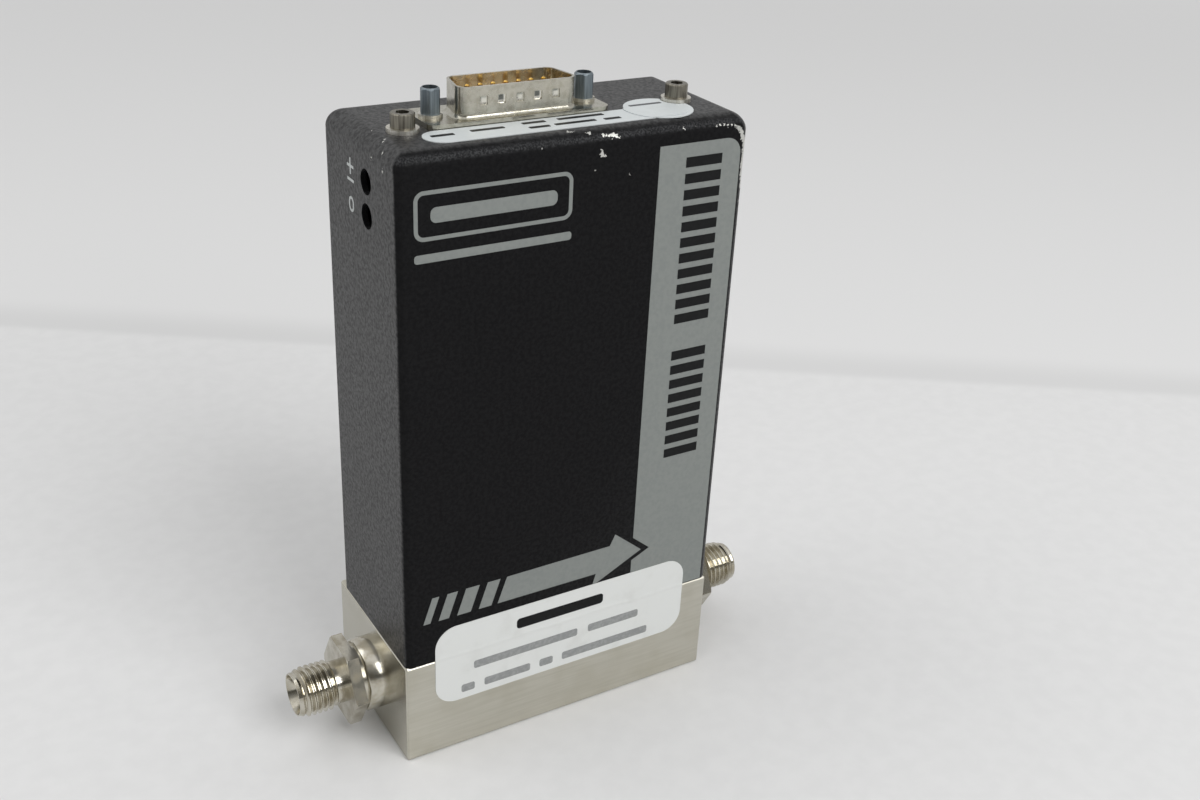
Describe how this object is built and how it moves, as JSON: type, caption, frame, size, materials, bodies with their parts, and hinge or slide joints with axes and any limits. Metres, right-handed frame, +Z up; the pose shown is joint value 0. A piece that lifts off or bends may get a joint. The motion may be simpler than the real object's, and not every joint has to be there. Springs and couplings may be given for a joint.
{
  "type": "mass flow meter",
  "caption": "Gas mass flow meter: metal flow block with threaded tube fittings at its ends, a tall dark cover over sensor and board, and a D-shaped signal connector on the roof.",
  "frame": {"origin": "middle of the flow block's underside, the face that the meter stands on", "axes": "+X with the flow from inlet to outlet, -Y out of the printed front, +Z up through the cover to the connector"},
  "size_m": [0.1154, 0.0377, 0.144],
  "materials": {
    "stainless": "fine satin, machined",
    "cover_paint": "fine textured dark grey paint",
    "nickel_plate": "bright nickel plate",
    "zinc_plate": "plated steel",
    "dark_steel": "dark plated steel",
    "screw_steel": "worn stainless",
    "gold_plate": "gold plated",
    "brass": "plain brass",
    "insulator": "moulded, matt",
    "seal_rubber": "smooth black",
    "sensor_metal": "plain",
    "board_laminate": "green laminate",
    "component_body": "moulded black",
    "trimmer_body": "moulded blue",
    "winding": "varnished wire",
    "label_silver": "silver grey film"
  },
  "bodies": {
    "meter_body": {"base_block": "stainless", "inlet_fitting": "stainless", "outlet_fitting": "stainless", "inlet_o_ring": "seal_rubber", "outlet_o_ring": "seal_rubber", "bypass_element": "stainless", "bypass_retainer": "stainless", "sensor_flange": "stainless", "sensor_seals": "seal_rubber", "sensor_screws": "screw_steel", "sensor_tube": "stainless", "sensor_windings": "winding", "sensor_housing": "sensor_metal", "lead_block": "component_body", "lead_pins": "gold_plate", "chassis_frame": "sensor_metal", "frame_screws": "screw_steel", "clinch_nuts": "zinc_plate", "circuit_board": "board_laminate", "board_spacers": "brass", "board_screws": "zinc_plate", "ribbon_header": "component_body", "header_pins": "gold_plate", "gain_trimmer": "trimmer_body", "zero_trimmer": "trimmer_body", "ic_packages": "component_body", "capacitors": "trimmer_body", "resistors": "component_body", "connector_shell": "nickel_plate", "connector_rear_shell": "nickel_plate", "connector_insulator": "insulator", "contact_pins": "gold_plate", "screwlocks": "dark_steel", "lock_washers": "zinc_plate", "screwlock_nuts": "zinc_plate", "cover": "cover_paint", "cover_screws": "screw_steel", "cover_washers": "zinc_plate", "round_label": "label_silver", "serial_label": "label_silver", "seal_label": "label_silver"},
    "gain_screw": {"gain_trim_screw": "brass"},
    "zero_screw": {"zero_trim_screw": "brass"}
  },
  "joints": [
    {"name": "gain_adjust", "type": "hinge", "parent": "meter_body", "child": "gain_screw", "pos_m": [-0.0335, -0.0047, 0.1281], "axis": [1, 0, 0], "continuous": true},
    {"name": "zero_adjust", "type": "hinge", "parent": "meter_body", "child": "zero_screw", "pos_m": [-0.0335, -0.0047, 0.1214], "axis": [1, 0, 0], "continuous": true}
  ]
}
